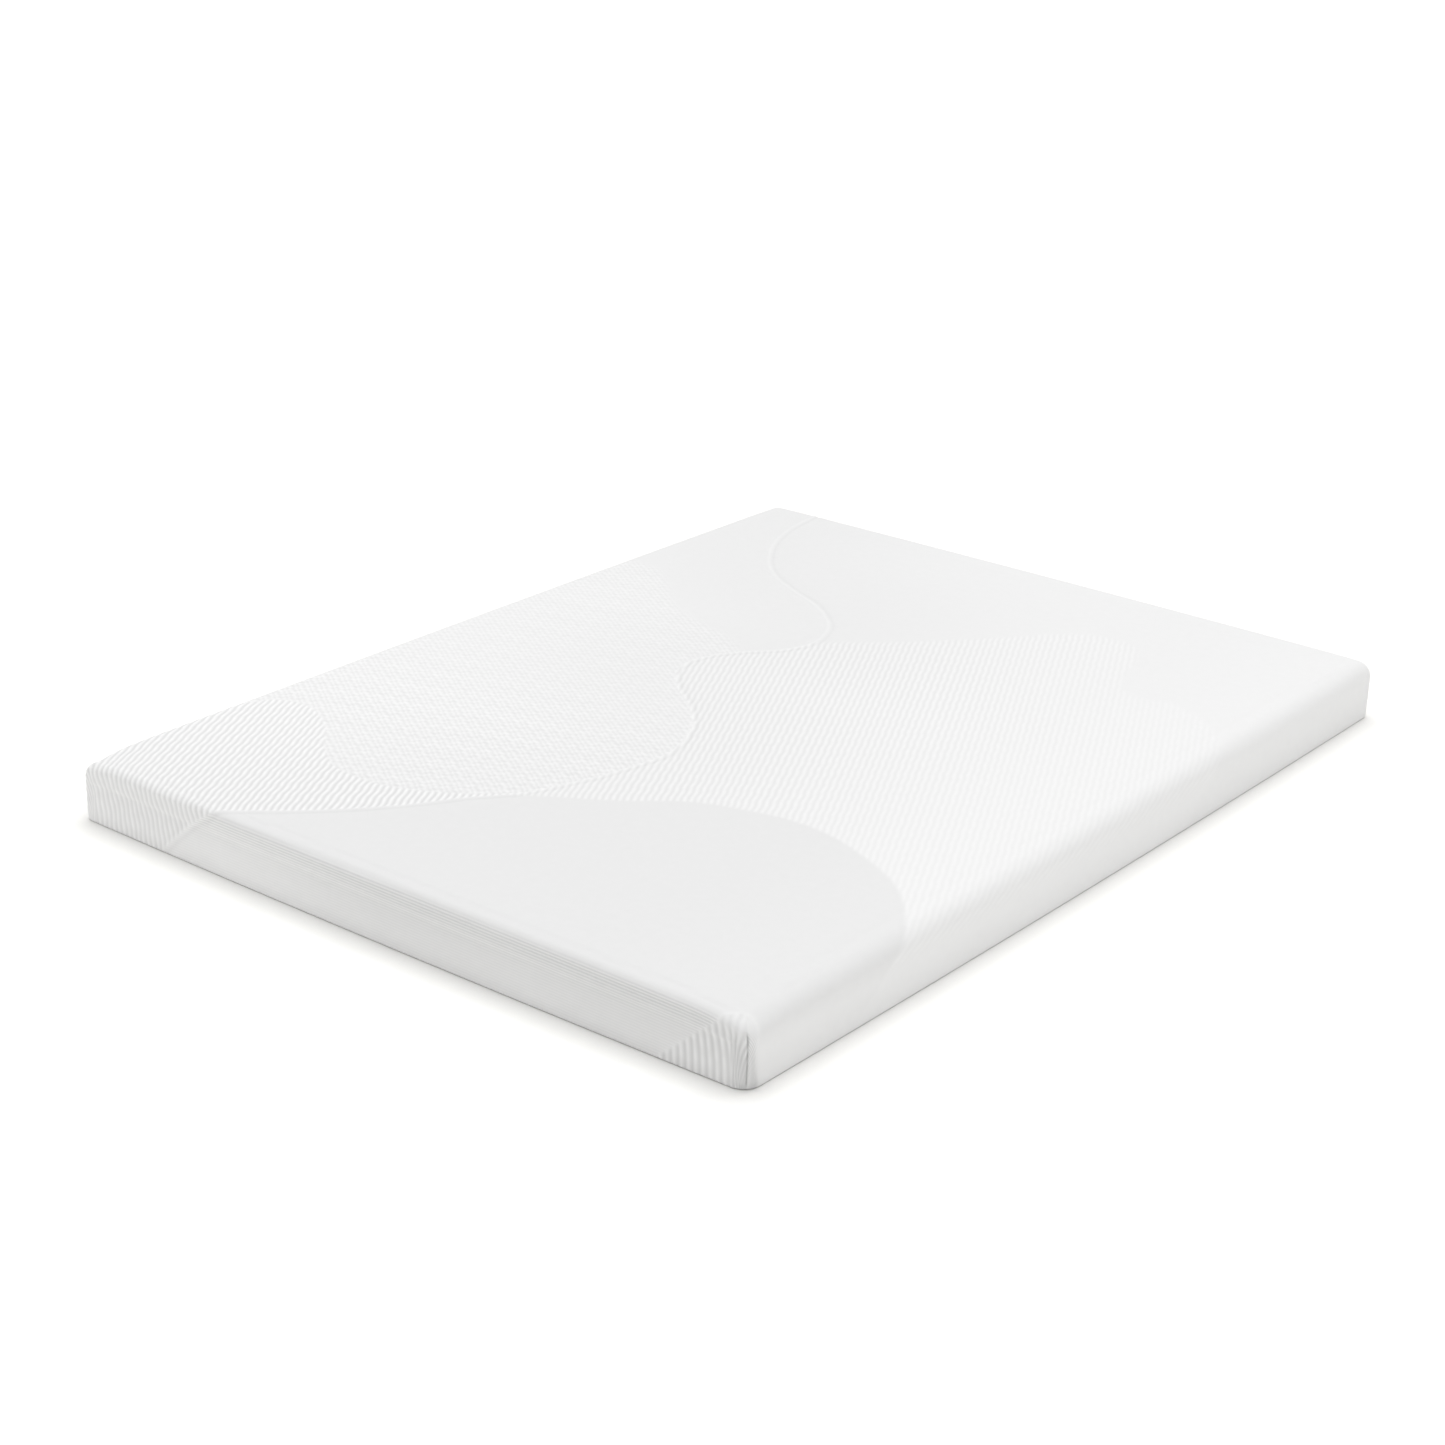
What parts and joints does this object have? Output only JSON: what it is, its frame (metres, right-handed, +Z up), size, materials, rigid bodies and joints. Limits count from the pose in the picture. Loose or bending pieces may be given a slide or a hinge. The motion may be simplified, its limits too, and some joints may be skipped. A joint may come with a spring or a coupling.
{
  "type": "memory foam mattress",
  "caption": "Thin rectangular foam mattress in a white knitted zip-off cover with a flat sleep surface and a non-slip base.",
  "frame": {"origin": "middle of the underside, on the surface that the mattress rests on", "axes": "+X across the width, +Y along the length towards the end with the zip, +Z up through the sleep surface"},
  "size_m": [1.524, 2.032, 0.12],
  "materials": {
    "cover_knit": "matte white jacquard knit",
    "base_cloth": "matte non-slip base cloth with small grip dots",
    "grip_dot": "translucent pale silicone",
    "sewing_thread": "matte overlocked thread",
    "label_cloth": "smooth satin, blank",
    "zip_tape": "fine woven tape",
    "zip_coil": "satin nylon",
    "zip_metal": "white enamel",
    "sock_knit": "matte off-white rib knit",
    "memory_foam": "open-cell foam, fine pores",
    "adhesive": "dry film of foam adhesive",
    "support_foam": "open-cell foam, coarser pores"
  },
  "bodies": {
    "root": {"cover_top": "cover_knit", "corner_seam_front_right": "cover_knit", "corner_seam_front_left": "cover_knit", "corner_seam_back_right": "cover_knit", "corner_seam_back_left": "cover_knit", "base_panel": "base_cloth", "base_seam": "sewing_thread", "care_label": "label_cloth", "zip_tape_upper": "zip_tape", "zip_tape_lower": "zip_tape", "zip_coil_upper": "zip_coil", "zip_coil_lower": "zip_coil", "zip_top_stops": "zip_metal", "zip_bottom_stop": "zip_metal", "fire_sock": "sock_knit", "comfort_foam": "memory_foam", "adhesive_layer": "adhesive", "support_foam": "support_foam"},
    "zip_slider": {"zip_slider_body": "zip_metal"},
    "zip_tab": {"zip_pull_tab": "zip_metal"}
  },
  "joints": [
    {"name": "zip_slide", "type": "slide", "parent": "root", "child": "zip_slider", "axis": [1, 0, 0], "range_m": [0, 1.352]},
    {"name": "pull_tab_hinge", "type": "hinge", "parent": "zip_slider", "child": "zip_tab", "pos_m": [-0.676, 1.008, 0.023], "axis": [0, 0, 1], "range_deg": [0, 180]}
  ]
}
